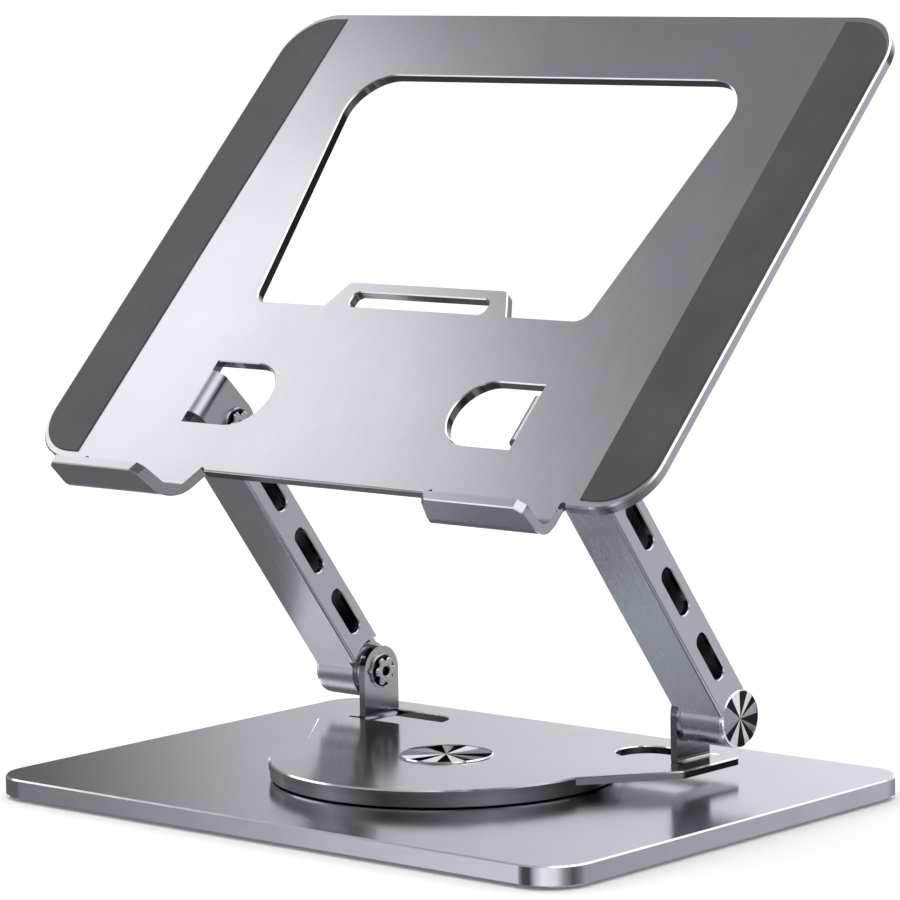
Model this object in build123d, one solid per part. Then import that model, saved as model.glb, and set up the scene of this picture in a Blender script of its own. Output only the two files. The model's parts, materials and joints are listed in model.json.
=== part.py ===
from build123d import *
import math
import os

# Laptop stand: a heavy base plate, a turntable that swivels on it, two folding arms
# and a tilting platform with two front hooks. Sizes are in millimetres and degrees.
# +X is to the right, the hooks and the user are at -Y, and +Z is up.
# The origin is on the desk, on the swivel axis. Paired pieces are built at +X and mirrored.

# ---- base plate and feet ----
BASE_WIDTH = 240.0
BASE_DEPTH = 179.0
BASE_THICK = 6.4
BASE_CORNER = 15.0
FOOT_RISE = 1.0                      # height of the rubber feet below the base plate
FOOT_POCKET = 0.8
FOOT_RADIUS = 11.0
FOOT_INSET = 19.0                    # from the base's sides to the centre of a foot
EDGE_CHAMFER = 0.5
FINE_CHAMFER = 0.35                  # on the edges of openings, hooks and ears

# ---- turntable ----
SWIVEL_GAP = 0.4                     # air between the base plate and the spacer disc
DISC_RADIUS = 56.7
DISC_THICK = 3.2
TABLE_RADIUS = 57.1
TABLE_THICK = 2.5
WING_HALF_WIDTH = 78.0
WING_FRONT = 24.0
WING_BACK = 54.0
WING_START = -4.0                    # where the front edge of a wing leaves the round disc
CAP_RADIUS = 15.3
CAP_THICK = 0.6
RING_INNER = 22.0                    # plastic slide ring under the spacer disc
RING_OUTER = 34.0
RING_POCKET = 2.0
SCREW_CIRCLE = 45.0
SCREW_COUNT = 4

# ---- swivel pivot: a bolt through the turntable, held in a pocket under the base ----
PIVOT_SHANK = 5.0
PIVOT_HEAD = 9.0
PIVOT_HEAD_THICK = 1.6
PIVOT_POCKET = 14.0
PIVOT_POCKET_DEPTH = 3.4
PIVOT_WASHER_THICK = 0.8
PIVOT_SPRING_THICK = 0.8
PIVOT_NUT_THICK = 1.5

# ---- hinges: the same parts at the lower and the upper end of both arms ----
HINGE_Y = 42.2                       # lower hinge axis
HINGE_RISE = 14.9                    # lower hinge axis above the turntable plate
EAR_OUTER = 67.7                     # outer face of every ear
EAR_RADIUS = 8.5
EAR_OPENING_MARGIN = 1.5             # round the ear in the opening that it leaves in the turntable
BEND_INNER = 1.0                     # inside radius where an ear leaves its plate
PIN_RADIUS = 3.0
PIN_PLAY = 0.05
HEAD_RADIUS = 5.8
HEAD_THICK = 2.3
NUT_ACROSS = 10.0
BARREL_RADIUS = 9.4
HINGE_CAP_RADIUS = 9.3
HINGE_CAP_THICK = 1.5
HINGE_CAP_INSET = 1.2                # how far the cap is let into the outer side of the arm
STACK = (1.0, 0.6, 0.6)              # steel washer, friction disc and wave washer

# ---- arms: rectangular tubes with long slots through both sides ----
ARM_LENGTH = 113.5                   # between the two hinge axes
ARM_LEAN = 52.8                      # above the horizontal, leaning towards the front
ARM_INNER = 67.2
ARM_OUTER = 86.5
ARM_SHEET = 2.2
ARM_FRONT = 6.4                      # front face, from the hinge line
ARM_BACK = 7.7                       # back face, from the hinge line
ARM_BACK_WALL = 2.0
ARM_CORNER = 1.0
EAR_CLEARANCE = 11.5                 # radius cut away round each ear
SLOT_LENGTH = 18.7
SLOT_WIDTH = 5.4
SLOT_PITCH = 28.5
SLOT_OFFSET = 1.3                    # middle of the slots behind the hinge line
SLOT_SHIFT = 1.6                     # middle slot below the middle of the arm

# ---- platform, in its own flat frame: Y up the slope from the front edge, Z = 0 on top ----
PLATFORM_WIDTH = 255.0
PLATFORM_LENGTH = 196.0
PLATFORM_THICK = 3.2
PLATFORM_CORNER = 18.0
PLATFORM_TILT = 45.2
PIVOT_UP_SLOPE = 31.1
PIVOT_DROP = 17.3                    # upper hinge axis below the top face
WINDOW_BOTTOM = 69.0
WINDOW_TOP = 168.3
WINDOW_HALF_BOTTOM = 69.0
WINDOW_HALF_TOP = 83.8
WINDOW_TOP_RADIUS = 15.0
WINDOW_BOTTOM_RADIUS = 5.0
TONGUE_HALF_BOTTOM = 38.8
TONGUE_HALF_TOP = 33.0
TONGUE_TOP = 79.2
TONGUE_SLOT_HALF = 28.5
TONGUE_SLOT_BOTTOM = 69.2
TONGUE_SLOT_TOP = 75.2
OPENING_RADIUS = 12.45               # round end of the opening that each ear is bent from
OPENING_CENTRE = 50.5
HOOK_INNER = 49.0                    # at the platform front edge, on the slanting inner side
HOOK_SLANT = 0.53                    # how far the inner side moves out for each mm in front
HOOK_OUTER = 98.5
HOOK_REACH = 12.2                    # outer face of the lip, in front of the platform
HOOK_HEIGHT = 14.0
HOOK_BEND = 4.0
HOOK_TAPER = 0.33                    # how far the inner side moves out for each mm of height
HOOK_CORNER = 2.3                    # cut off both top corners of the lip
NOTCH_WIDTH = 2.2
NOTCH_DEPTH = 1.3
PAD_INNER = 105.0
PAD_MARGIN = 1.1
PAD_END_MARGIN = 2.6
PAD_POCKET = 0.6
PAD_THICK = 1.1

# ---- levels worked out from the sizes above ----
BASE_TOP = FOOT_RISE + BASE_THICK
DISC_BOTTOM = BASE_TOP + SWIVEL_GAP
TABLE_BOTTOM = DISC_BOTTOM + DISC_THICK
TABLE_TOP = TABLE_BOTTOM + TABLE_THICK
HINGE_Z = TABLE_TOP + HINGE_RISE
UPPER_Y = HINGE_Y - ARM_LENGTH * math.cos(math.radians(ARM_LEAN))
UPPER_Z = HINGE_Z + ARM_LENGTH * math.sin(math.radians(ARM_LEAN))
BARREL_START = EAR_OUTER + sum(STACK) + 0.05
BARREL_END = ARM_OUTER - HINGE_CAP_INSET
POCKET_START = 78.0                  # nut pocket in the outer end of a barrel
POCKET_RADIUS = 6.0
NUT_START = 80.4
NUT_THICK = 4.0
SPIGOT_DEPTH = 0.8

PLACE_PLATFORM = (
    Pos(0, UPPER_Y, UPPER_Z) * Rot(PLATFORM_TILT, 0, 0) * Pos(0, -PIVOT_UP_SLOPE, PIVOT_DROP)
)
PLACE_ARM = Pos(0, HINGE_Y, HINGE_Z) * Rot(90 - ARM_LEAN, 0, 0)


def round_plate(width, depth, thick, corner, bottom):
    """A flat plate with rounded corners, centred on the origin, with its underside at bottom."""
    return extrude(Pos(0, 0, bottom) * RectangleRounded(width, depth, corner), thick)


def disc(radius, bottom, thick, hole=0.0):
    """A round disc about the Z axis, with an optional round hole."""
    shape = Pos(0, 0, bottom + thick / 2) * Cylinder(radius, thick)
    if hole:
        shape -= Pos(0, 0, bottom + thick / 2) * Cylinder(hole, thick + 2)
    return shape


def axle(radius, start, end, y=0.0, z=0.0, hole=0.0):
    """A cylinder along X from start to end, about the line at (y, z)."""
    length = end - start
    shape = Cylinder(radius, length)
    if hole:
        shape -= Cylinder(hole, length + 2)
    return Pos((start + end) / 2, y, z) * Rot(0, 90, 0) * shape


def faces_at(shape, axis, end):
    """The outermost face of a shape along an axis: end is -1 for the last and 0 for the first."""
    return shape.faces().sort_by(axis)[end]


def outline(points):
    """A closed flat face through a list of corner points."""
    return make_face(Polyline(*points, close=True))


def mirror_x(shape):
    """The same piece on the -X side."""
    return mirror(shape, Plane.YZ)


# ---- base ----

def foot_centres():
    x = BASE_WIDTH / 2 - FOOT_INSET
    y = BASE_DEPTH / 2 - FOOT_INSET
    return {"front_left": (-x, -y), "front_right": (x, -y), "back_left": (-x, y), "back_right": (x, y)}


def make_base_plate():
    plate = round_plate(BASE_WIDTH, BASE_DEPTH, BASE_THICK, BASE_CORNER, FOOT_RISE)
    plate = chamfer(faces_at(plate, Axis.Z, -1).edges(), EDGE_CHAMFER)
    plate = chamfer(faces_at(plate, Axis.Z, 0).edges(), EDGE_CHAMFER)
    for x, y in foot_centres().values():
        plate -= Pos(x, y, 0) * disc(FOOT_RADIUS + 0.2, FOOT_RISE, FOOT_POCKET)
    plate -= disc(RING_OUTER, BASE_TOP - RING_POCKET, RING_POCKET + 1, RING_INNER)
    plate -= disc(PIVOT_SHANK + PIN_PLAY, 0, BASE_TOP + 1)
    plate -= disc(PIVOT_POCKET, FOOT_RISE - 1, PIVOT_POCKET_DEPTH + 1)
    return plate


def make_foot(x, y):
    foot = disc(FOOT_RADIUS, 0, FOOT_RISE + FOOT_POCKET)
    foot = chamfer(faces_at(foot, Axis.Z, 0).edges(), 0.3)
    return Pos(x, y, 0) * foot


# ---- swivel ----

def make_slide_ring():
    bottom = BASE_TOP - RING_POCKET
    return disc(RING_OUTER - 0.1, bottom, DISC_BOTTOM - bottom, RING_INNER + 0.1)


def make_pivot_bolt():
    head_bottom = TABLE_TOP - PIVOT_HEAD_THICK
    shank_bottom = FOOT_RISE + 0.3
    bolt = disc(PIVOT_SHANK, shank_bottom, head_bottom - shank_bottom)
    return bolt + disc(PIVOT_HEAD, head_bottom, PIVOT_HEAD_THICK)


def make_pivot_stack():
    """The washer, the wave spring and the lock nut under the base plate, from the top down."""
    top = FOOT_RISE + PIVOT_POCKET_DEPTH
    washer = disc(12.5, top - PIVOT_WASHER_THICK, PIVOT_WASHER_THICK, PIVOT_SHANK)
    top -= PIVOT_WASHER_THICK
    spring = disc(10.5, top - PIVOT_SPRING_THICK, PIVOT_SPRING_THICK, 6.5)
    top -= PIVOT_SPRING_THICK
    hexagon = RegularPolygon(10.0, 6) - Circle(PIVOT_SHANK)
    nut = extrude(Pos(0, 0, top - PIVOT_NUT_THICK) * hexagon, PIVOT_NUT_THICK)
    return {"pivot_washer": washer, "pivot_wave_spring": spring, "pivot_lock_nut": nut}


def screw_places():
    step = 360 / SCREW_COUNT
    return [Rot(0, 0, step * (i + 0.5)) * Pos(SCREW_CIRCLE, 0, 0) for i in range(SCREW_COUNT)]


def screw_shape(play):
    """A countersunk screw that enters from under the spacer disc."""
    head = Pos(0, 0, DISC_BOTTOM + 1.0) * Cone(3.8 + play, 2.0 + play, 2.0)
    return head + disc(2.0 + play, DISC_BOTTOM + 1.9, DISC_THICK - 1.9 + 1.6)


def make_disc_screws():
    return Compound(children=[Part() + place * screw_shape(0.0) for place in screw_places()])


def make_spacer_disc():
    plate = disc(DISC_RADIUS, DISC_BOTTOM, DISC_THICK, PIVOT_SHANK)
    plate = chamfer(faces_at(plate, Axis.Z, 0).edges().sort_by(SortBy.LENGTH)[-1], 0.5)
    for place in screw_places():
        plate -= place * screw_shape(0.02)
    return plate


# ---- ears: tongues bent out of a plate, with a round end about the hinge axis ----

def make_ear(thick, rise):
    """An ear bent towards +Z from a plate whose face is at Z = 0, with its hinge at Y = 0."""
    inner = EAR_OUTER - thick
    centre = EAR_OUTER + BEND_INNER
    tall = rise + EAR_RADIUS
    leg = Pos((inner + EAR_OUTER) / 2, (BEND_INNER + tall) / 2) * Rectangle(thick, tall - BEND_INNER)
    bend = Pos(centre, BEND_INNER) * (Circle(BEND_INNER + thick) - Circle(BEND_INNER))
    corner = Pos(centre - 5, BEND_INNER - 5) * Rectangle(10, 10)
    profile = Plane.XZ * (leg + (bend & corner))
    strip = extrude(profile, EAR_RADIUS, both=True)
    side = Pos(0, rise / 2 - 5) * Rectangle(2 * EAR_RADIUS, rise + 10) + Pos(0, rise) * Circle(EAR_RADIUS)
    return strip & extrude(Plane.YZ * side, 2 * EAR_OUTER)


def make_wing_outline():
    """The turntable plate seen from above: a disc with a wing behind it on each side."""
    half = [(TABLE_RADIUS - 0.2, WING_START), (WING_HALF_WIDTH, WING_FRONT), (WING_HALF_WIDTH, WING_BACK)]
    corners = half + [(-x, y) for x, y in reversed(half)]
    wings = fillet(outline(corners).vertices().filter_by(lambda v: abs(v.X) > TABLE_RADIUS), 2.5)
    return Circle(TABLE_RADIUS) + wings


def ear_opening(round_end, half_width, length):
    """The opening that an ear is bent out of, straight at the bend and round at the far end."""
    bend = EAR_OUTER + BEND_INNER
    shape = Pos(round_end, 0) * Circle(half_width)
    return shape + Pos((round_end + bend) / 2, 0) * Rectangle(length, 2 * half_width)


def relief_cuts():
    """Two short cuts at the ends of the turntable ear's bend."""
    cut = Rectangle(3.4, EAR_OPENING_MARGIN)
    middle = EAR_OUTER + BEND_INNER + 1.2
    offset = EAR_RADIUS + EAR_OPENING_MARGIN / 2
    return Pos(middle, offset) * cut + Pos(middle, -offset) * cut


def make_turntable_plate():
    round_end = EAR_OUTER - TABLE_THICK - HINGE_RISE - EAR_OPENING_MARGIN
    opening = ear_opening(round_end, EAR_RADIUS + EAR_OPENING_MARGIN, EAR_OUTER + BEND_INNER - round_end)
    opening = Pos(0, HINGE_Y) * (opening + relief_cuts())
    plate = extrude(Pos(0, 0, TABLE_BOTTOM) * make_wing_outline(), TABLE_THICK)
    plate = chamfer(faces_at(plate, Axis.Z, -1).edges(), 0.5)
    cutter = extrude(Pos(0, 0, TABLE_BOTTOM - 1) * opening, TABLE_THICK + 2)
    ear = Pos(0, HINGE_Y, TABLE_TOP) * make_ear(TABLE_THICK, HINGE_RISE)
    ear -= axle(PIN_RADIUS, EAR_OUTER - 10, EAR_OUTER + 1, HINGE_Y, HINGE_Z)
    plate = plate - cutter - mirror_x(cutter)
    rims = [edge for wire in faces_at(plate, Axis.Z, -1).inner_wires() for edge in wire.edges()]
    plate = chamfer([edge for edge in rims if abs(edge.center().X) < EAR_OUTER], FINE_CHAMFER)
    plate = plate + ear + mirror_x(ear)
    plate -= disc(PIVOT_SHANK, TABLE_BOTTOM - 1, TABLE_THICK + 2)
    plate -= disc(PIVOT_HEAD, TABLE_TOP - PIVOT_HEAD_THICK, PIVOT_HEAD_THICK + 1)
    for place in screw_places():
        plate -= place * disc(2.02, TABLE_BOTTOM - 1, 2.7)
    return plate


def make_turntable_cap():
    cap = disc(CAP_RADIUS, TABLE_TOP, CAP_THICK)
    return chamfer(faces_at(cap, Axis.Z, -1).edges(), 0.4)


# ---- hinge hardware ----

def make_hinge(y, z, ear_thick):
    """The pieces of one hinge at +X, from the bolt head inside the ear to the cap outside the arm."""
    ear_inner = EAR_OUTER - ear_thick
    bolt_end = NUT_START + NUT_THICK
    bolt = axle(HEAD_RADIUS, ear_inner - HEAD_THICK, ear_inner, y, z)
    bolt = chamfer(faces_at(bolt, Axis.X, 0).edges(), 0.5)
    bolt += axle(PIN_RADIUS, ear_inner, bolt_end, y, z)
    socket = extrude(Plane.YZ * RegularPolygon(2.3, 6), 1.5)
    bolt -= Pos(ear_inner - HEAD_THICK, y, z) * socket
    pieces = {"bolt": bolt}
    start = EAR_OUTER
    radii = (8.2, 7.4, 8.2)
    for name, thick, radius in zip(("steel_washer", "friction_disc", "wave_washer"), STACK, radii):
        pieces[name] = axle(radius, start, start + thick, y, z, PIN_RADIUS)
        start += thick
    pieces["disc_springs"] = axle(5.6, POCKET_START, NUT_START, y, z, PIN_RADIUS)
    hexagon = RegularPolygon(NUT_ACROSS / 2, 6, major_radius=False) - Circle(PIN_RADIUS)
    pieces["lock_nut"] = Pos(NUT_START, y, z) * extrude(Plane.YZ * hexagon, NUT_THICK)
    cap = axle(HINGE_CAP_RADIUS, BARREL_END, BARREL_END + HINGE_CAP_THICK, y, z)
    cap = chamfer(faces_at(cap, Axis.X, -1).edges(), 0.25)
    pieces["cap"] = cap + axle(POCKET_RADIUS, BARREL_END - SPIGOT_DEPTH, BARREL_END, y, z)
    return pieces


# ---- arms, built upright with the lower hinge at the origin and the front at -Y ----

def arm_section():
    """The closed rectangular section of an arm."""
    middle = (ARM_INNER + ARM_OUTER) / 2
    width = ARM_OUTER - ARM_INNER
    depth = ARM_FRONT + ARM_BACK
    outer = Pos(middle, (ARM_BACK - ARM_FRONT) / 2) * RectangleRounded(width, depth, ARM_CORNER)
    hollow_depth = depth - ARM_SHEET - ARM_BACK_WALL
    hollow_middle = (ARM_BACK - ARM_BACK_WALL - ARM_FRONT + ARM_SHEET) / 2
    hollow = Pos(middle, hollow_middle) * RectangleRounded(width - 2 * ARM_SHEET, hollow_depth, 0.6)
    return outer - hollow


def make_arm():
    arm = extrude(arm_section(), ARM_LENGTH)
    slot = extrude(Plane.YZ * SlotOverall(SLOT_LENGTH, SLOT_WIDTH, rotation=90), 100)
    for step in (-1, 0, 1):
        arm -= Pos(0, SLOT_OFFSET, ARM_LENGTH / 2 - SLOT_SHIFT + step * SLOT_PITCH) * slot
    for end in (-1, 0):
        rims = [edge for wire in faces_at(arm, Axis.X, end).inner_wires() for edge in wire.edges()]
        arm = chamfer(rims, FINE_CHAMFER)
    for z in (0, ARM_LENGTH):
        arm -= axle(EAR_CLEARANCE, ARM_INNER - 1, BARREL_START, 0, z)
        arm -= axle(BARREL_RADIUS, BARREL_END, ARM_OUTER + 1, 0, z)
        arm += axle(BARREL_RADIUS, BARREL_START, BARREL_END, 0, z)
    for z in (0, ARM_LENGTH):
        arm -= axle(PIN_RADIUS + PIN_PLAY, BARREL_START - 1, POCKET_START + 1, 0, z)
        arm -= axle(POCKET_RADIUS, POCKET_START, ARM_OUTER + 1, 0, z)
    return PLACE_ARM * arm


# ---- platform, built flat ----

def make_window():
    corners = [
        (-WINDOW_HALF_BOTTOM, WINDOW_BOTTOM),
        (WINDOW_HALF_BOTTOM, WINDOW_BOTTOM),
        (WINDOW_HALF_TOP, WINDOW_TOP),
        (-WINDOW_HALF_TOP, WINDOW_TOP),
    ]
    window = outline(corners)
    window = fillet(window.vertices().group_by(Axis.Y)[-1], WINDOW_TOP_RADIUS)
    return fillet(window.vertices().group_by(Axis.Y)[0], WINDOW_BOTTOM_RADIUS)


def make_tongue():
    """The strip with a slot that stands into the window from its lower edge."""
    corners = [
        (-TONGUE_HALF_BOTTOM, WINDOW_BOTTOM - 1),
        (TONGUE_HALF_BOTTOM, WINDOW_BOTTOM - 1),
        (TONGUE_HALF_TOP, TONGUE_TOP),
        (-TONGUE_HALF_TOP, TONGUE_TOP),
    ]
    tongue = outline(corners)
    tongue = fillet(tongue.vertices().group_by(Axis.Y)[-1], 3.0)
    height = TONGUE_SLOT_TOP - TONGUE_SLOT_BOTTOM
    middle = (TONGUE_SLOT_TOP + TONGUE_SLOT_BOTTOM) / 2
    return tongue, Pos(0, middle) * RectangleRounded(2 * TONGUE_SLOT_HALF, height, 2.4)


def hook_front(reach):
    """The hook seen from the front, as it is at a distance in front of the platform."""
    inner = HOOK_INNER + HOOK_SLANT * reach
    bottom = -PLATFORM_THICK - 1
    shoulder = HOOK_HEIGHT - HOOK_CORNER
    corners = [
        (inner + HOOK_TAPER * bottom, bottom),
        (HOOK_OUTER, bottom),
        (HOOK_OUTER, shoulder),
        (HOOK_OUTER - HOOK_CORNER, HOOK_HEIGHT),
        (inner + HOOK_TAPER * shoulder + HOOK_CORNER, HOOK_HEIGHT),
        (inner + HOOK_TAPER * shoulder, shoulder),
    ]
    return Plane.XZ.offset(reach) * outline(corners)


def make_hook():
    """An L-shaped hook at +X: a floor in front of the platform and a lip that stands up."""
    inner = HOOK_REACH - PLATFORM_THICK
    floor = Pos(-HOOK_REACH / 2 + 2, -PLATFORM_THICK / 2) * Rectangle(HOOK_REACH + 4, PLATFORM_THICK)
    lip_middle = (HOOK_HEIGHT - PLATFORM_THICK) / 2
    lip = Pos(-HOOK_REACH + PLATFORM_THICK / 2, lip_middle)
    lip *= Rectangle(PLATFORM_THICK, HOOK_HEIGHT + PLATFORM_THICK)
    profile = floor + lip
    outside = profile.vertices().sort_by(lambda v: v.X + v.Y)[0]
    profile = fillet(outside, HOOK_BEND + PLATFORM_THICK)
    inside = profile.vertices().filter_by(lambda v: abs(v.X + inner) < 0.01 and abs(v.Y) < 0.01)
    profile = fillet(inside, HOOK_BEND)
    hook = extrude(Plane.YZ * profile, HOOK_OUTER + 1)
    hook &= loft([hook_front(-5), hook_front(HOOK_REACH + 5)])
    lip_face = faces_at(hook, Axis.Y, 0)
    low = min(vertex.Z for vertex in lip_face.vertices())
    return chamfer([edge for edge in lip_face.edges() if edge.center().Z > low + 0.1], FINE_CHAMFER)


def make_notches():
    """The two rounded notches in the platform's front edge beside a hook."""
    notch = Pos(0, 0) * Rectangle(NOTCH_WIDTH, 2 * NOTCH_DEPTH - NOTCH_WIDTH)
    notch += Pos(0, NOTCH_DEPTH - NOTCH_WIDTH / 2) * Circle(NOTCH_WIDTH / 2)
    left = Pos(HOOK_INNER - NOTCH_WIDTH / 2, 0) * notch
    right = Pos(HOOK_OUTER + NOTCH_WIDTH / 2, 0) * notch
    return extrude(Pos(0, 0, -PLATFORM_THICK - 1) * (left + right), PLATFORM_THICK + 2)


def pad_outline(margin):
    """The strip along the +X edge of the platform that a rubber pad covers."""
    width = PLATFORM_WIDTH - 2 * (PAD_MARGIN - margin)
    length = PLATFORM_LENGTH - 2 * (PAD_END_MARGIN - margin)
    whole = Pos(0, PLATFORM_LENGTH / 2) * RectangleRounded(width, length, PLATFORM_CORNER - 1.5)
    inner = PAD_INNER - margin
    return whole & Pos(inner + 50, PLATFORM_LENGTH / 2) * Rectangle(100, PLATFORM_LENGTH)


def make_pad():
    pad = extrude(Pos(0, 0, -PAD_POCKET) * pad_outline(0.0), PAD_THICK)
    pad = chamfer(faces_at(pad, Axis.Z, -1).edges(), 0.3)
    return PLACE_PLATFORM * pad


def make_platform_blank():
    """The flat platform with its window and ear openings, chamfered round the top edges."""
    bend = EAR_OUTER + BEND_INNER
    tongue, slot = make_tongue()
    opening = Pos(0, PIVOT_UP_SLOPE) * ear_opening(OPENING_CENTRE, OPENING_RADIUS, bend - OPENING_CENTRE)
    cuts = make_window() - tongue + slot + opening + mirror(opening, Plane.YZ)
    sheet = RectangleRounded(PLATFORM_WIDTH, PLATFORM_LENGTH, PLATFORM_CORNER)
    plate = extrude(Pos(0, PLATFORM_LENGTH / 2, -PLATFORM_THICK) * sheet, PLATFORM_THICK)
    plate = chamfer(faces_at(plate, Axis.Z, -1).edges(), EDGE_CHAMFER)
    plate -= extrude(Pos(0, 0, -PLATFORM_THICK - 1) * cuts, PLATFORM_THICK + 2)
    rims = [edge for wire in faces_at(plate, Axis.Z, -1).inner_wires() for edge in wire.edges()]
    bent = [edge for edge in rims if abs(abs(edge.center().X) - bend) < 0.01 and edge.center().Y < WINDOW_BOTTOM - 5]
    return chamfer([edge for edge in rims if edge not in bent], FINE_CHAMFER)


def make_platform_plate():
    depth = PLATFORM_THICK
    plate = make_platform_blank()
    ear = make_ear(depth, PIVOT_DROP - depth)
    ear = Pos(0, PIVOT_UP_SLOPE, -depth) * mirror(ear, Plane.XY)
    ear -= axle(PIN_RADIUS, EAR_OUTER - 10, EAR_OUTER + 1, PIVOT_UP_SLOPE, -PIVOT_DROP)
    pocket = extrude(Pos(0, 0, -PAD_POCKET) * pad_outline(0.05), 5)
    for shape in (make_notches(), pocket):
        plate = plate - shape - mirror_x(shape)
    for shape in (ear, make_hook()):
        plate = plate + shape + mirror_x(shape)
    return PLACE_PLATFORM * plate


# ---- the whole stand ----

def make_all():
    nodes = {"base_plate": make_base_plate()}
    for name, (x, y) in foot_centres().items():
        nodes["foot_pad_" + name] = make_foot(x, y)
    nodes["swivel_slide_ring"] = make_slide_ring()
    nodes["pivot_bolt"] = make_pivot_bolt()
    nodes.update(make_pivot_stack())
    nodes["spacer_disc"] = make_spacer_disc()
    nodes["spacer_disc_screws"] = make_disc_screws()
    nodes["turntable_plate"] = make_turntable_plate()
    nodes["turntable_cap"] = make_turntable_cap()
    paired = {"arm": make_arm(), "rubber_pad": make_pad()}
    for name, piece in make_hinge(HINGE_Y, HINGE_Z, TABLE_THICK).items():
        paired["lower_hinge_" + name] = piece
    for name, piece in make_hinge(UPPER_Y, UPPER_Z, PLATFORM_THICK).items():
        paired["upper_hinge_" + name] = piece
    for name, piece in paired.items():
        nodes[name + "_right"] = piece
        nodes[name + "_left"] = mirror_x(piece)
    nodes["platform_plate"] = make_platform_plate()
    return nodes


os.makedirs("parts", exist_ok=True)
for node_name, node_shape in make_all().items():
    export_step(node_shape, "parts/" + node_name + ".step")
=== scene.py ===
import json
import math
import random

import bmesh
import bpy
from mathutils import Matrix, Vector


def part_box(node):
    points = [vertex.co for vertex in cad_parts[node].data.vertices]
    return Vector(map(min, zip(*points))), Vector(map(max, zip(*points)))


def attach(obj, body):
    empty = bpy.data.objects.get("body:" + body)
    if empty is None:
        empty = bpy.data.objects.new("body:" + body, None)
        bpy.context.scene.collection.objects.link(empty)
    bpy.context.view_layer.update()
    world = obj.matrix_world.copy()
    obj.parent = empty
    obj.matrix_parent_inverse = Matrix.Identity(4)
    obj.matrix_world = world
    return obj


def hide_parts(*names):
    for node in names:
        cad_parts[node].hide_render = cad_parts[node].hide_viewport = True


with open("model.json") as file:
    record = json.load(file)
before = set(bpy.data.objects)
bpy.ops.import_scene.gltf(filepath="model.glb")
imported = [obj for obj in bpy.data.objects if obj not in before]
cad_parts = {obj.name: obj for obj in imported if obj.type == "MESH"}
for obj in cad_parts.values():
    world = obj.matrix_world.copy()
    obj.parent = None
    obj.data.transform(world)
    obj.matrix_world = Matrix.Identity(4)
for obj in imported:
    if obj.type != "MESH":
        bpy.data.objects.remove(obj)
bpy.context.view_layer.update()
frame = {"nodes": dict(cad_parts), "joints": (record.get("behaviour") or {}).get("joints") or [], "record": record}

MM = 0.001
NODES = frame["nodes"]
JOINTS = {joint["name"]: joint for joint in frame["joints"]}
MOUNTS = {mount["name"]: mount for mount in frame["record"]["mounts"]}
X_AXIS = Vector((1, 0, 0))
Z_AXIS = Vector((0, 0, 1))
PLATFORM_NORMAL = Vector(MOUNTS["laptop_rest_left"]["axis"]).normalized()
UP_SLOPE = Vector(MOUNTS["laptop_stop_left"]["axis"]).normalized()
LOWER_HINGE = Vector(JOINTS["arm_fold"]["pos_m"])
UPPER_HINGE = Vector(JOINTS["platform_tilt"]["pos_m"])
ARM_UP = (UPPER_HINGE - LOWER_HINGE).normalized()
ARM_BACKWARD = ARM_UP.cross(X_AXIS).normalized()


# ---- materials ----

SCRATCH_DEPTH = 0.01 * MM
PEBBLE_DEPTH = 0.04 * MM
MOULDING_DEPTH = 0.03 * MM
SPINNING_DEPTH = 0.006 * MM
TURNING_PITCH = 0.35 * MM
SPINNING_PITCH = 0.28 * MM


class Graph:
    """A node tree, built up from small steps."""

    def __init__(self, tree):
        self.tree = tree

    def node(self, kind, inputs=(), **settings):
        made = self.tree.nodes.new(kind)
        for key, value in settings.items():
            setattr(made, key, value)
        for key, value in dict(inputs).items():
            if isinstance(value, bpy.types.NodeSocket):
                self.tree.links.new(value, made.inputs[key])
            else:
                made.inputs[key].default_value = value
        return made

    def math(self, operation, a, b=0.0):
        return self.node("ShaderNodeMath", {0: a, 1: b}, operation=operation).outputs[0]

    def ramp(self, value, low, high, out_low, out_high):
        inputs = {0: value, 1: low, 2: high, 3: out_low, 4: out_high}
        return self.node("ShaderNodeMapRange", inputs).outputs[0]


class Shader(Graph):
    """A node material with a principled shader."""

    def __init__(self, name, **values):
        self.material = bpy.data.materials.new(name)
        self.material.use_nodes = True
        super().__init__(self.material.node_tree)
        self.shader = self.tree.nodes["Principled BSDF"]
        self.place = self.node("ShaderNodeTexCoord").outputs["Object"]
        for key, value in values.items():
            self.shader.inputs[self.socket(key)].default_value = value

    @staticmethod
    def socket(key):
        return key.replace("_", " ").title().replace("Ior", "IOR")

    def stretched(self, scale, turn=(0, 0, 0)):
        """Object coordinates turned and then scaled, for a directional grain."""
        turned = self.node("ShaderNodeMapping", {"Vector": self.place, "Rotation": turn})
        return self.node("ShaderNodeMapping", {"Vector": turned.outputs[0], "Scale": scale}).outputs[0]

    def noise(self, scale, detail=3.0, place=None, roughness=0.55):
        inputs = {"Vector": place or self.place, "Scale": scale, "Detail": detail, "Roughness": roughness}
        return self.node("ShaderNodeTexNoise", inputs).outputs["Fac"]

    def blend(self, factor, first, second):
        made = self.node("ShaderNodeMix", {0: factor, 6: (*first, 1), 7: (*second, 1)}, data_type="RGBA")
        return made.outputs[2]

    def tones(self, value, low, high, first, second):
        """Goes from the first tint to the second as value goes from low to high."""
        return self.blend(self.ramp(value, low, high, 0.0, 1.0), first, second)

    def bump(self, height, distance, strength):
        inputs = {"Height": height, "Distance": distance, "Strength": strength}
        return self.node("ShaderNodeBump", inputs).outputs[0]

    def rings(self, radius, pitch):
        """A wave that rises and falls once for each pitch of radius."""
        return self.math("SINE", self.math("MULTIPLY", radius, 2 * math.pi / pitch))

    def use(self, **sockets):
        for key, value in sockets.items():
            self.tree.links.new(value, self.shader.inputs[self.socket(key)])
        return self.material


def scaled(tint, factor):
    return tuple(min(1.0, channel * factor) for channel in tint)


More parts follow.
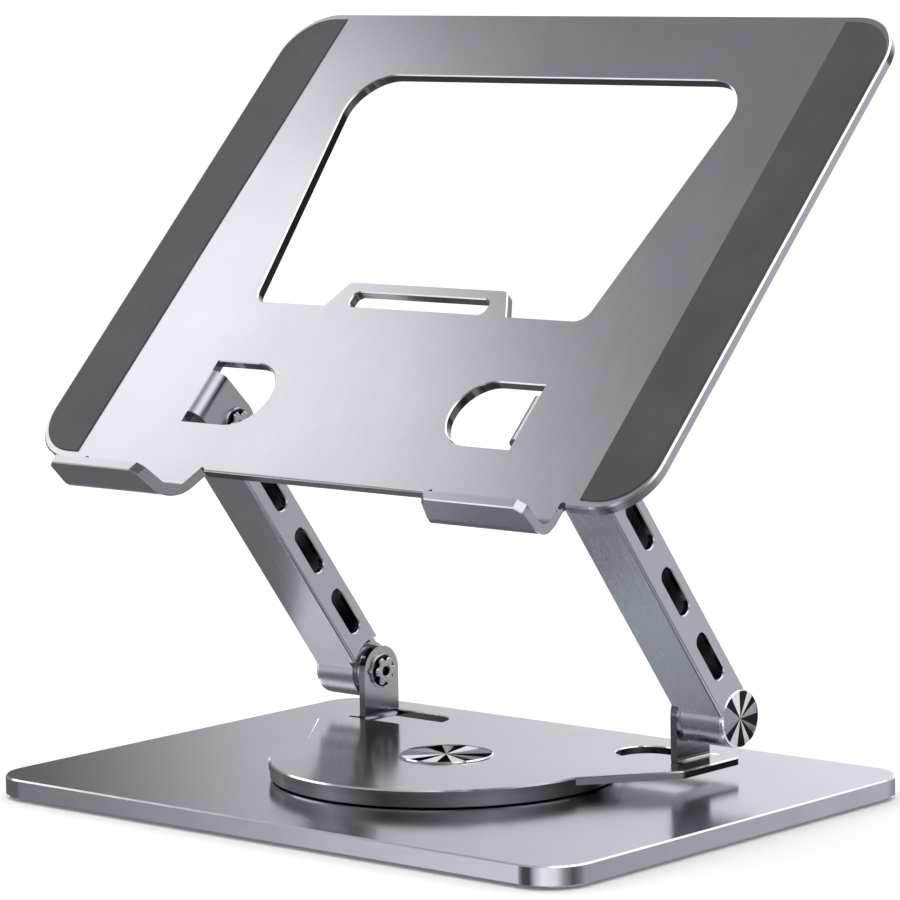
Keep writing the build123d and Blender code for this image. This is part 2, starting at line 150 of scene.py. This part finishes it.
def anodised(name, tint, rough, grain_turn=(0, 0, 0)):
    """Fine-blasted, anodised aluminium: a faint long grain, a fine grit and soft clouds of gloss."""
    s = Shader(name, metallic=1.0)
    clouds = s.noise(14.0, 3.0)
    grit = s.noise(2600.0, 2.0)
    grain = s.noise(1.0, 4.0, s.stretched((1500, 60, 1500), grain_turn))
    mixed = s.math("ADD", s.math("MULTIPLY", grit, 0.5), s.math("MULTIPLY", grain, 0.5))
    cloudy = s.ramp(clouds, 0.3, 0.7, rough - 0.02, rough + 0.03)
    gloss = s.math("ADD", cloudy, s.ramp(grain, 0.3, 0.7, -0.02, 0.02))
    colour = s.tones(mixed, 0.35, 0.65, scaled(tint, 0.95), scaled(tint, 1.04))
    return s.use(base_color=colour, roughness=gloss, normal=s.bump(mixed, SCRATCH_DEPTH, 0.15))


def cut_edge(name, tint, rough):
    """A milled or sheared edge, with fine tool lines and brighter and darker patches."""
    s = Shader(name, metallic=1.0)
    lines = s.noise(1.0, 2.0, s.stretched((90, 90, 5200)))
    patches = s.noise(60.0, 2.0)
    colour = s.tones(patches, 0.35, 0.65, scaled(tint, 0.95), tint)
    gloss = s.ramp(lines, 0.3, 0.7, rough - 0.03, rough + 0.04)
    return s.use(base_color=colour, roughness=gloss, normal=s.bump(lines, SCRATCH_DEPTH, 0.3))


def turned_steel(name, tint, rough, centre):
    """Zinc plated or turned steel, with rings about an X axis through centre."""
    s = Shader(name, metallic=1.0)
    apart = s.node("ShaderNodeSeparateXYZ", {0: s.place}).outputs
    dy = s.math("SUBTRACT", apart[1], centre.y)
    dz = s.math("SUBTRACT", apart[2], centre.z)
    radius = s.math("SQRT", s.math("ADD", s.math("MULTIPLY", dy, dy), s.math("MULTIPLY", dz, dz)))
    rings = s.rings(radius, TURNING_PITCH)
    spots = s.noise(700.0, 3.0)
    colour = s.tones(spots, 0.35, 0.7, scaled(tint, 0.8), tint)
    gloss = s.ramp(spots, 0.3, 0.7, rough - 0.06, rough + 0.08)
    return s.use(base_color=colour, roughness=gloss, normal=s.bump(rings, SCRATCH_DEPTH, 0.35))


def rubber(name, tint, rough):
    """Matte silicone rubber: fine pebbled skin, with faint paler dust and soft mottling."""
    s = Shader(name, specular_ior_level=0.35, sheen_weight=0.15, sheen_roughness=0.5)
    pebble = s.node("ShaderNodeTexVoronoi", {"Vector": s.place, "Scale": 2200.0}).outputs["Distance"]
    fine = s.noise(3800.0, 2.0)
    mottled = s.noise(45.0, 4.0)
    mixed = s.math("ADD", s.math("MULTIPLY", pebble, 0.6), s.math("MULTIPLY", fine, 0.4))
    colour = s.tones(mottled, 0.35, 0.65, scaled(tint, 0.88), scaled(tint, 1.1))
    gloss = s.ramp(mixed, 0.2, 0.6, rough - 0.06, rough + 0.08)
    return s.use(base_color=colour, roughness=gloss, normal=s.bump(mixed, PEBBLE_DEPTH, 0.4))


def plastic(name, tint):
    """Acetal plastic, faintly waxy with fine moulding texture."""
    s = Shader(name, specular_ior_level=0.5, subsurface_weight=0.05)
    spots = s.noise(900.0, 3.0)
    colour = s.tones(spots, 0.35, 0.65, scaled(tint, 0.94), tint)
    gloss = s.ramp(spots, 0.3, 0.7, 0.34, 0.46)
    return s.use(base_color=colour, roughness=gloss, normal=s.bump(spots, MOULDING_DEPTH, 0.3))


def spun(name, tint, rough, centre, axis, glance=1.0):
    """Spun metal, with fine grooves round the axis and a mirror tint of glance at grazing angles."""
    s = Shader(name, metallic=1.0, specular_tint=(glance, glance, glance, 1.0))
    local = s.node("ShaderNodeVectorMath", {0: s.place, 1: centre}, operation="SUBTRACT").outputs[0]
    along = s.node("ShaderNodeVectorMath", {0: local, 1: axis}, operation="CROSS_PRODUCT").outputs[0]
    radius = s.node("ShaderNodeVectorMath", {0: along}, operation="LENGTH").outputs["Value"]
    rings = s.rings(radius, SPINNING_PITCH)
    streaks = s.noise(350.0, 2.0)
    colour = s.tones(streaks, 0.3, 0.7, scaled(tint, 0.93), tint)
    gloss = s.ramp(streaks, 0.3, 0.7, rough - 0.03, rough + 0.04)
    return s.use(base_color=colour, roughness=gloss, normal=s.bump(rings, SPINNING_DEPTH, 0.3))


# ---- which faces of a sheet piece are its skin, its cut sides and its bright chamfers ----

SKIN, SIDE, BRIGHT, INSIDE, WALL, RIM = range(6)
NEAR = 0.1 * MM                       # a face further than this past a sheet's skin is on a bend
FACE_SLACK = 0.3 * MM                 # allowed between a face's middle and the wall it belongs to
TABLE_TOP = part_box("turntable_cap")[0].z
TABLE_RADIUS = -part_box("turntable_plate")[0].y
EAR_OPENING_HALF = 10.3 * MM          # half the length of the turntable's ear openings, and a little more
EAR_BEND = 3.6 * MM
PAD_PROUD = 0.5 * MM                  # the pads' top over the platform's face
STOP_AHEAD = 9.0 * MM                 # from the lip's inner face back to the platform's front edge
PLATFORM_FACE = Vector(MOUNTS["laptop_rest_left"]["pos_m"]).dot(PLATFORM_NORMAL) - PAD_PROUD
PLATFORM_FRONT = Vector(MOUNTS["laptop_stop_left"]["pos_m"]).dot(UP_SLOPE) + STOP_AHEAD
PLATFORM_SHEET = 3.2 * MM
OPENINGS_REACH = 180 * MM             # the platform's openings end before this, up its slope
OPENINGS_HALF = 100 * MM              # and before this, to either side
ARM_MIDDLE = (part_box("arm_right")[0].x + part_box("arm_right")[1].x) / 2
ARM_HALF = (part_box("arm_right")[1].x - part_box("arm_right")[0].x) / 2
ARM_SHEET = 2.2 * MM
SLOT_DEPTHS = (-2 * MM, 4.6 * MM)     # depths are from the hinge line towards the arm's back
BACK_WALL = (5.3 * MM, 6.7 * MM)
FRONT_WALL = (-4.8 * MM, -3.5 * MM)
CHAMFER_WIDEST = 1.3 * MM
CHAMFER_LEAN = (0.62, 0.78)           # cosines, about 45 degrees, from the face beside it
FLAT_LEAN = (0.64, 0.77)              # the same, from one of the piece's flat directions
SHORTEST_EDGE = 1e-7
KEYS_PER_METRE = 2e5                  # corners closer than 1 / KEYS_PER_METRE count as one


def between(value, limits):
    return limits[0] < value < limits[1]


def corner_key(point):
    return tuple(round(c * KEYS_PER_METRE) for c in point)


def neighbours(mesh):
    """For each edge, given by its two end points, the normals of the faces on it."""
    found = {}
    for face in mesh.polygons:
        keys = [corner_key(mesh.vertices[i].co) for i in face.vertices]
        for i, key in enumerate(keys):
            edge = frozenset((key, keys[i - 1]))
            found.setdefault(edge, []).append(face.normal.copy())
    return found


def is_chamfer(mesh, face, edges):
    """True for a narrow face that leans at about 45 degrees to a face beside it."""
    corners = [mesh.vertices[i].co for i in face.vertices]
    for i, point in enumerate(corners):
        other = corners[i - 1]
        length = (point - other).length
        if length < SHORTEST_EDGE or 2 * face.area / length > CHAMFER_WIDEST:
            continue
        for normal in edges[frozenset((corner_key(point), corner_key(other)))]:
            if between(normal.dot(face.normal), CHAMFER_LEAN):
                return True
    return False


def is_wall(node, centre):
    """The sides that are darker: of openings, slots, the turntable's wings and the platform's front."""
    if node.startswith("arm_"):
        return True
    if node == "turntable_plate":
        return abs(centre.y - LOWER_HINGE.y) < EAR_OPENING_HALF
    if node == "platform_plate":
        reach = centre.dot(UP_SLOPE) - PLATFORM_FRONT
        return -FACE_SLACK < reach < OPENINGS_REACH and abs(centre.x) < OPENINGS_HALF
    return False


def is_rim(node, centre):
    """The round side of the turntable."""
    return node == "turntable_plate" and math.hypot(centre.x, centre.y) < TABLE_RADIUS + FACE_SLACK


def side_index(node, centre):
    if is_wall(node, centre):
        return WALL
    return RIM if is_rim(node, centre) else SIDE


def face_index(node, mesh, face, edges, is_side, flats):
    """The material index of a face, from where it lies and how it leans to the flat directions."""
    leans = any(between(abs(face.normal.dot(flat)), FLAT_LEAN) for flat in flats)
    if leans and is_chamfer(mesh, face, edges):
        return BRIGHT
    if is_side(face.center, face.normal):
        return side_index(node, face.center)
    if node.startswith("arm_") and is_inside(face.center, face.normal):
        return INSIDE
    return SKIN


def dress_sheet(node, skin, is_side, flats):
    """Gives a sheet piece its six materials, face by face."""
    mesh = NODES[node].data
    mesh.materials.clear()
    for material in (skin, side_metal, bright_metal, shade_painted_inside_skin, wall_metal, rim_metal):
        mesh.materials.append(material)
    edges = neighbours(mesh)
    for face in mesh.polygons:
        face.material_index = face_index(node, mesh, face, edges, is_side, flats)


def flat_side(centre, normal):
    return abs(normal.z) < 0.3


def turntable_side(centre, normal):
    if centre.z > TABLE_TOP + NEAR:
        bend = centre.z < TABLE_TOP + EAR_BEND and abs(normal.y) < 0.3
        return not (abs(normal.x) > 0.3 or bend)
    return abs(normal.z) < 0.3


def platform_side(centre, normal):
    height = centre.dot(PLATFORM_NORMAL) - PLATFORM_FACE
    reach = centre.dot(UP_SLOPE) - PLATFORM_FRONT
    across, slope, up = abs(normal.x), normal.dot(UP_SLOPE), normal.dot(PLATFORM_NORMAL)
    if reach < -NEAR:
        return across > 0.3 and abs(up) < 0.9
    if height < -PLATFORM_SHEET - NEAR:
        bend = height > -PLATFORM_SHEET - EAR_BEND and abs(slope) < 0.3
        return not (across > 0.3 or bend)
    return abs(up) < 0.3


def arm_depth(centre):
    return (centre - LOWER_HINGE).dot(ARM_BACKWARD)


def arm_side(centre, normal):
    """The walls of the long slots, and the cut ends of the tube."""
    return abs(normal.x) < 0.2 and between(arm_depth(centre), SLOT_DEPTHS)


def is_inside(centre, normal):
    """The walls inside an arm's tube, which get a darker copy of the arm's finish as painted shade."""
    off = abs(centre.x) - ARM_MIDDLE
    cavity = ARM_HALF - ARM_SHEET
    within = abs(off) < cavity + FACE_SLACK
    outward = normal.x * (1 if centre.x > 0 else -1) * off > 0
    side = abs(normal.x) > 0.9 and within and not outward and abs(off) > cavity - FACE_SLACK
    backward = normal.dot(ARM_BACKWARD)
    back = backward < -0.3 and within and between(arm_depth(centre), BACK_WALL)
    front = backward > 0.3 and within and between(arm_depth(centre), FRONT_WALL)
    return side or front or back


# ---- the colours and finishes of the CAD pieces ----

GREY = (0.50, 0.51, 0.535)
ARM_GREY = (0.60, 0.61, 0.635)
EDGE_GREY = (0.50, 0.51, 0.54)
SHADE_PAINTED_INSIDE_GREY = (0.24, 0.245, 0.26)
WALL_GREY = (0.17, 0.172, 0.18)
RIM_GREY = (0.44, 0.448, 0.47)
PALE = (0.86, 0.87, 0.90)
STEEL = (0.60, 0.61, 0.63)
PAD_BLACK = (0.048, 0.049, 0.053)
FOOT_BLACK = (0.03, 0.03, 0.032)
ACETAL_WHITE = (0.75, 0.75, 0.73)
SHADE_PAINTED_RECESS_BLACK = (0.035, 0.035, 0.04)
STEEL_ROUGHNESS = 0.22

tilt = math.atan2(UP_SLOPE.z, UP_SLOPE.y)
lean = math.atan2(ARM_UP.z, ARM_UP.y)
base_skin = anodised("base_anodised", GREY, 0.15)
table_skin = anodised("turntable_anodised", GREY, 0.15)
platform_skin = anodised("platform_anodised", GREY, 0.30, (-tilt, 0, 0))
arm_skin = anodised("arm_anodised", ARM_GREY, 0.26, (-lean, 0, 0))
# The tube's inside is the arm's anodised finish made darker and rougher, as painted shade.
shade_painted_inside_skin = anodised("shade_painted_arm_inside", SHADE_PAINTED_INSIDE_GREY, 0.42, (-lean, 0, 0))
side_metal = cut_edge("cut_side", EDGE_GREY, 0.11)
wall_metal = cut_edge("dark_wall", WALL_GREY, 0.12)
rim_metal = cut_edge("turntable_rim", RIM_GREY, 0.12)
bright_metal = cut_edge("bright_chamfer", PALE, 0.14)
pad_rubber = rubber("pad_rubber", PAD_BLACK, 0.6)
foot_rubber = rubber("foot_rubber", FOOT_BLACK, 0.7)
acetal = plastic("acetal", ACETAL_WHITE)

dress_sheet("base_plate", base_skin, flat_side, [Z_AXIS])
dress_sheet("spacer_disc", table_skin, flat_side, [Z_AXIS])
dress_sheet("turntable_plate", table_skin, turntable_side, [Z_AXIS])
dress_sheet("platform_plate", platform_skin, platform_side, [PLATFORM_NORMAL, UP_SLOPE])
for hand in ("left", "right"):
    dress_sheet("arm_" + hand, arm_skin, arm_side, [])


def dress(node, material):
    mesh = NODES[node].data
    mesh.materials.clear()
    mesh.materials.append(material)


lower_steel = turned_steel("lower_hinge_steel", STEEL, STEEL_ROUGHNESS, LOWER_HINGE)
upper_steel = turned_steel("upper_hinge_steel", STEEL, STEEL_ROUGHNESS, UPPER_HINGE)
for name in NODES:
    if name.startswith("foot_pad"):
        dress(name, foot_rubber)
    elif name.startswith("rubber_pad"):
        dress(name, pad_rubber)
    elif "friction_disc" in name or name == "swivel_slide_ring":
        dress(name, acetal)
    elif name.startswith(("lower_hinge", "pivot", "spacer_disc_screws")):
        dress(name, lower_steel)
    elif name.startswith("upper_hinge"):
        dress(name, upper_steel)


# ---- pieces modelled here: sunburst caps and hinge bolts ----

HANDS = (("left", -1), ("right", 1))


def piece_from(name, bm, materials):
    """Makes the object of a closed bmesh, with its materials in the order of its face indices."""
    bmesh.ops.recalc_face_normals(bm, faces=bm.faces)
    mesh = bpy.data.meshes.new(name)
    bm.to_mesh(mesh)
    bm.free()
    for material in materials:
        mesh.materials.append(material)
    made = bpy.data.objects.new(name, mesh)
    bpy.context.scene.collection.objects.link(made)
    return made


RELIEF = 0.34 * MM                    # of a sunburst cap's wedges
RIM_INSET = 0.45 * MM
RIM_STEP = 0.05 * MM
RIM_BEVEL = 0.4 * MM
WEDGE_STEPS = 4                       # triangles to a wedge
SECTORS = 16
HINGE_CAP_DEPTH = 1.5 * MM
PLAIN_SHARE = 0.72                    # of the wedges that are bright or dark, not in between
# The first three tones are painted reflection: a painted highlight, a painted dark reflection and a grey in
# between. The last is the bright chamfer metal.
PAINTED_HIGHLIGHT_TONE, PAINTED_DARK_TONE, PAINTED_MIDDLE_TONE, RIM_TONE = range(4)


def wedge_layout(seed):
    """Where each wedge starts, how far it rises and its painted reflection tone, drawn at random."""
    rng = random.Random(seed)
    widths = [rng.uniform(0.6, 1.5) for _ in range(SECTORS)]
    total = sum(widths)
    starts = [2 * math.pi * sum(widths[:i]) / total for i in range(SECTORS)]
    lifts = [RELIEF * rng.uniform(0.55, 1.0) * (1 if i % 2 else -0.15) for i in range(SECTORS)]
    plain = (PAINTED_HIGHLIGHT_TONE, PAINTED_DARK_TONE)
    tones = [plain[i % 2] if rng.random() < PLAIN_SHARE else PAINTED_MIDDLE_TONE for i in range(SECTORS)]
    return starts, lifts, tones


def spokes(starts, lifts):
    """The angle and the rise of each spoke of a cap, WEDGE_STEPS to a wedge."""
    for i in range(SECTORS):
        following = starts[i + 1] if i + 1 < SECTORS else 2 * math.pi
        lift_next = lifts[(i + 1) % SECTORS]
        for k in range(WEDGE_STEPS):
            t = k / WEDGE_STEPS
            yield starts[i] + (following - starts[i]) * t, lifts[i] + (lift_next - lifts[i]) * t


# The wedge tints are painted reflection. Near white is a painted highlight. Near black, with a low mirror tint at
# grazing angles, is a painted dark reflection. Grey lies between them.
def cap_materials(name, centre, axis):
    return [
        spun(name + "_painted_highlight", (0.95, 0.95, 0.97), 0.10, centre, axis),
        spun(name + "_painted_dark_reflection", (0.04, 0.04, 0.045), 0.14, centre, axis, 0.06),
        spun(name + "_painted_mid_reflection", (0.42, 0.42, 0.45), 0.14, centre, axis, 0.6),
        bright_metal,
    ]


def make_cap(name, node, body, centre, axis, radius, bottom, top, seed):
    """A round cap whose face is cut into wedges that lean in turn to either side, each tinted with a painted
    reflection tone.
    """
    side = axis.orthogonal().normalized()
    other = axis.cross(side)
    starts, lifts, tones = wedge_layout(seed)
    bm = bmesh.new()

    def point(r, angle, height):
        spoke = side * math.cos(angle) + other * math.sin(angle)
        return bm.verts.new(centre + spoke * r + axis * height)

    rim = radius - RIM_INSET
    face_top = top - RELIEF * 1.1
    hub = bm.verts.new(centre + axis * (face_top + RELIEF * 0.4))
    ring, outer, low, base = [], [], [], []
    for angle, lift in spokes(starts, lifts):
        ring.append(point(rim, angle, face_top + lift))
        outer.append(point(rim + RIM_STEP, angle, top))
        low.append(point(radius, angle, top - RIM_BEVEL))
        base.append(point(radius, angle, bottom))
    count = len(ring)
    for i in range(count):
        j = (i + 1) % count
        bm.faces.new((hub, ring[i], ring[j])).material_index = tones[i // WEDGE_STEPS]
        for inner, beyond in ((ring, outer), (outer, low), (low, base)):
            bm.faces.new((inner[i], beyond[i], beyond[j], inner[j])).material_index = RIM_TONE
    bm.faces.new(list(reversed(base)))
    made = piece_from(name, bm, cap_materials(name, centre, axis))
    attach(made, body)
    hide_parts(node)


low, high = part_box("turntable_cap")
make_cap("turntable_sunburst_cap", "turntable_cap", "turntable", Vector((0, 0, 0)), Z_AXIS,
         (high.x - low.x) / 2, low.z, high.z, seed=4)
for hand, sign in HANDS:
    for end, hinge, seed in (("lower", LOWER_HINGE, 11), ("upper", UPPER_HINGE, 23)):
        node = end + "_hinge_cap_" + hand
        low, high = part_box(node)
        far = high.x if sign > 0 else -low.x
        middle = Vector((0, hinge.y, hinge.z))
        make_cap(end + "_hinge_sunburst_" + hand, node, "arms", middle, X_AXIS * sign,
                 (high.y - low.y) / 2, far - HINGE_CAP_DEPTH, far, seed=seed)


CROWN_RADIUS = 4.9 * MM
CROWN_HOLLOW = 1.5 * MM
CROWN_BEVEL = 0.45 * MM
SOCKET_RADIUS = 1.6 * MM
SOCKET_DEPTH = 1.3 * MM
FLANGE_RADIUS = 5.8 * MM
SHANK_RADIUS = 3.0 * MM
HEAD_DEPTH = 2.3 * MM
BOLT_STEPS = 72


def crown(angle):
    """The outline of the bolt's head, with six hollows."""
    return CROWN_RADIUS - CROWN_HOLLOW * (0.5 - 0.5 * math.cos(6 * angle)) ** 2


def crown_top(angle):
    return crown(angle) - CROWN_BEVEL


def hexagon(angle):
    return SOCKET_RADIUS / math.cos(angle % (math.pi / 3) - math.pi / 6)


def circle(radius):
    return lambda angle: radius


def bolt_rings(length):
    """A bolt's rings, as depth behind its face, radius, and whether the band after it is dark with painted shade.
    """
    return [
        (SOCKET_DEPTH, hexagon, 1), (0.25 * MM, hexagon, 0), (0, circle(SOCKET_RADIUS + CROWN_BEVEL), 0),
        (0, crown_top, 0), (0.4 * MM, crown, 1), (1.35 * MM, crown, 1),
        (1.4 * MM, circle(FLANGE_RADIUS - 0.5 * MM), 0), (1.55 * MM, circle(FLANGE_RADIUS - 0.2 * MM), 0),
        (1.8 * MM, circle(FLANGE_RADIUS), 0), (HEAD_DEPTH, circle(FLANGE_RADIUS), 0),
        (HEAD_DEPTH, circle(SHANK_RADIUS), 0), (length, circle(SHANK_RADIUS), 0),
    ]


def ring_points(bm, place, hinge, radius):
    """The corners of one ring round the hinge's line, at place along X."""
    points = []
    for k in range(BOLT_STEPS):
        angle = 2 * math.pi * k / BOLT_STEPS
        r = radius(angle)
        spot = Vector((place, hinge.y + r * math.cos(angle), hinge.z + r * math.sin(angle)))
        points.append(bm.verts.new(spot))
    return points


def make_bolt(name, node, body, hinge, sign, metal):
    """A bolt about an X axis: a crown with a hexagon socket, a flange and a shank."""
    low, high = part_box(node)
    face = low.x if sign > 0 else high.x
    rings = bolt_rings(high.x - low.x)
    bm = bmesh.new()
    loops = [ring_points(bm, face + sign * depth, hinge, radius) for depth, radius, _ in rings]
    for (_, _, tone), first, second in zip(rings, loops, loops[1:]):
        for k in range(BOLT_STEPS):
            j = (k + 1) % BOLT_STEPS
            bm.faces.new((first[k], first[j], second[j], second[k])).material_index = tone
    bm.faces.new(loops[0]).material_index = 1
    bm.faces.new(loops[-1])
    made = piece_from(name, bm, [metal, shade_painted_recess_steel])
    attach(made, body)
    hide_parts(node)


# The hexagon socket and the crown's hollow sides are painted near black, as painted shade in the recesses.
shade_painted_recess_steel = cut_edge("shade_painted_bolt_recess", SHADE_PAINTED_RECESS_BLACK, 0.22)
for hand, sign in HANDS:
    for end, body, hinge, steel in (("lower", "turntable", LOWER_HINGE, lower_steel),
                                    ("upper", "platform", UPPER_HINGE, upper_steel)):
        name = end + "_hinge_flange_bolt_" + hand
        make_bolt(name, end + "_hinge_bolt_" + hand, body, hinge, sign, steel)


# ---- camera at the photo's angle ----

# Place and angles are from a camera fitted to the outlines of the base and the platform.
CAMERA_PLACE = Vector((0.9153, -1.0495, 0.2847))
CAMERA_YAW = math.radians(40.974)
CAMERA_PITCH = math.radians(7.059)
CAMERA_ROLL = math.radians(-0.974)
CAMERA_LENS = 176.1
SENSOR_WIDTH = 36.0

forward = Vector((-math.sin(CAMERA_YAW) * math.cos(CAMERA_PITCH),
                  math.cos(CAMERA_YAW) * math.cos(CAMERA_PITCH), -math.sin(CAMERA_PITCH)))
right = forward.cross(Z_AXIS).normalized()
up = right.cross(forward)
rolled_right = right * math.cos(CAMERA_ROLL) + up * math.sin(CAMERA_ROLL)
rolled_up = up * math.cos(CAMERA_ROLL) - right * math.sin(CAMERA_ROLL)
camera_data = bpy.data.cameras.new("photo_camera")
camera_data.lens = CAMERA_LENS
camera_data.sensor_width = SENSOR_WIDTH
camera_data.clip_start = 0.05
camera_data.clip_end = 60.0
camera = bpy.data.objects.new("photo_camera", camera_data)
basis = Matrix((rolled_right, rolled_up, -forward)).transposed()
camera.matrix_world = Matrix.Translation(CAMERA_PLACE) @ basis.to_4x4()
bpy.context.scene.collection.objects.link(camera)
bpy.context.scene.camera = camera


# ---- floor, lights and world ----

def make_floor(half):
    mesh = bpy.data.meshes.new("floor")
    corners = [(-half, -half, 0), (half, -half, 0), (half, half, 0), (-half, half, 0)]
    mesh.from_pydata(corners, [], [(0, 1, 2, 3)])
    s = Shader("floor_white", roughness=0.9, specular_ior_level=0.1)
    haze = s.noise(3.0, 2.0)
    mesh.materials.append(s.use(base_color=s.blend(haze, (0.96, 0.96, 0.96), (0.98, 0.98, 0.98))))
    floor = bpy.data.objects.new("floor", mesh)
    floor.visible_glossy = False
    bpy.context.scene.collection.objects.link(floor)


FLOOR_HALF = 8.0
KEY_PLACE = (-0.514, -0.082, 0.468)
KEY_TARGET = (-0.149, -0.007, 0.113)
KEY_WIDTH = 0.24
KEY_HEIGHT = 0.40
KEY_POWER = 0.52


def softbox(name, place, target, width, height, power):
    """A rectangular area light at place that faces target."""
    data = bpy.data.lights.new(name, "AREA")
    data.shape = "RECTANGLE"
    data.size = width
    data.size_y = height
    data.energy = power
    data.spread = math.pi
    lamp = bpy.data.objects.new(name, data)
    facing = (Vector(target) - Vector(place)).to_track_quat("-Z", "Y")
    lamp.matrix_world = Matrix.Translation(place) @ facing.to_matrix().to_4x4()
    bpy.context.scene.collection.objects.link(lamp)


make_floor(FLOOR_HALF)
softbox("key_softbox", KEY_PLACE, KEY_TARGET, KEY_WIDTH, KEY_HEIGHT, KEY_POWER)

# Grey levels of the studio round the object, by bearing from +X in degrees (-180 to 180).
# BELOW is what a glossy face sees under the horizon, LEVEL above it, ABOVE higher still.
BELOW = [(-180, 0.20), (-140, 0.22), (-136.5, 0.29), (-134.9, 0.5), (-133.6, 0.72), (-132.3, 0.95),
         (-131, 1.2), (-129.8, 1.3), (-118, 0.12), (-100, 0.10), (-88, 0.9), (-70, 1.6), (-40, 1.4),
         (-20, 0.5), (0, 0.15), (18, 0.3), (35, 0.62), (50.5, 0.58), (55, 0.86), (80, 0.5), (112, 0.3),
         (122, 4), (138, 4), (148, 0.2), (180, 0.2)]
LEVEL = [(-180, 0.3), (-150, 0.35), (-131, 0.6), (-110, 0.3), (-90, 0.08), (-60, 0.2), (-20, 0.5),
         (10, 0.25), (35, 0.06), (62, 0.06), (75, 0.3), (100, 1.3), (126, 1.22), (128, 1.08), (131, 0.9),
         (133.4, 0.74), (134, 0.6), (135, 0.42), (136.5, 0.17), (140, 0.13), (180, 0.45)]
ABOVE = [(-180, 0.3), (-120, 0.45), (-60, 0.9), (-30, 1.7), (90, 1.7), (115, 0.6), (150, 0.3), (180, 0.3)]
HIGHER_LEVEL = 0.78                   # LEVEL's factor from HIGHER_BAND up
DEEP_LIMIT = 0.45                     # the brightest that BELOW gets from DEEP_BAND down
DEEP_BAND = (-0.45, -0.3)             # bands are heights on the unit sphere, -1 to 1
HORIZON_BAND = (-0.04, 0.04)
HIGHER_BAND = (0.18, 0.22)
ABOVE_BAND = (0.42, 0.66)
COOL_TINT = (0.975, 0.99, 1.03)
MATTE_LIGHT = 1.2
WHITE = (1, 1, 1)


class Studio(Graph):
    """The world: white to the camera, even light for matte surfaces, soft panels for glossy ones."""

    def __init__(self):
        world = bpy.data.worlds.new("studio")
        bpy.context.scene.world = world
        world.use_nodes = True
        world.cycles.sampling_method = "NONE"
        super().__init__(world.node_tree)
        facing = self.tree.nodes.new("ShaderNodeTexCoord").outputs["Generated"]
        self.x, self.y, self.z = self.node("ShaderNodeSeparateXYZ", {0: facing}).outputs

    def within(self, band):
        """Goes from 0 at the band's foot to 1 at its top."""
        low, high = band
        return self.ramp(self.z, low, high, 0.0, 1.0)

    def greys(self, share, stops):
        made = self.node("ShaderNodeValToRGB", {0: share})
        made.color_ramp.interpolation = "LINEAR"
        points = made.color_ramp.elements
        while len(points) < len(stops):
            points.new(0.5)
        # All the positions are set before any colour.
        for point, (bearing, _) in zip(points, stops):
            point.position = (bearing + 180) / 360
        for point, (_, grey) in zip(points, stops):
            point.color = (*(grey * channel for channel in COOL_TINT), 1)
        return made.outputs[0]

    def mix(self, factor, first, second):
        return self.node("ShaderNodeMix", {0: factor, 6: first, 7: second}, data_type="RGBA").outputs[2]

    def emit(self, colour, strength=1.0):
        return self.node("ShaderNodeBackground", {0: colour, 1: strength}).outputs[0]

    def choose(self, factor, first, second):
        return self.node("ShaderNodeMixShader", {0: factor, 1: first, 2: second}).outputs[0]

    def panels(self):
        """What glossy surfaces see, by bearing and height."""
        turn = self.math("DIVIDE", self.math("ARCTAN2", self.y, self.x), 2 * math.pi)
        share = self.math("ADD", turn, 0.5)
        higher = [(bearing, grey * HIGHER_LEVEL) for bearing, grey in LEVEL]
        deep = [(bearing, min(grey, DEEP_LIMIT)) for bearing, grey in BELOW]
        level = self.mix(self.within(HIGHER_BAND), self.greys(share, LEVEL), self.greys(share, higher))
        below = self.mix(self.within(DEEP_BAND), self.greys(share, deep), self.greys(share, BELOW))
        grey = self.mix(self.within(HORIZON_BAND), below, level)
        return self.mix(self.within(ABOVE_BAND), grey, self.greys(share, ABOVE))

    def build(self):
        paths = self.tree.nodes.new("ShaderNodeLightPath").outputs
        even = self.emit((*WHITE, 1), MATTE_LIGHT)
        lit = self.choose(paths["Is Diffuse Ray"], self.emit(self.panels()), even)
        lit = self.choose(paths["Is Camera Ray"], lit, self.emit((*WHITE, 1)))
        self.tree.links.new(lit, self.tree.nodes["World Output"].inputs[0])


Studio().build()
bpy.context.scene.view_settings.view_transform = "Standard"
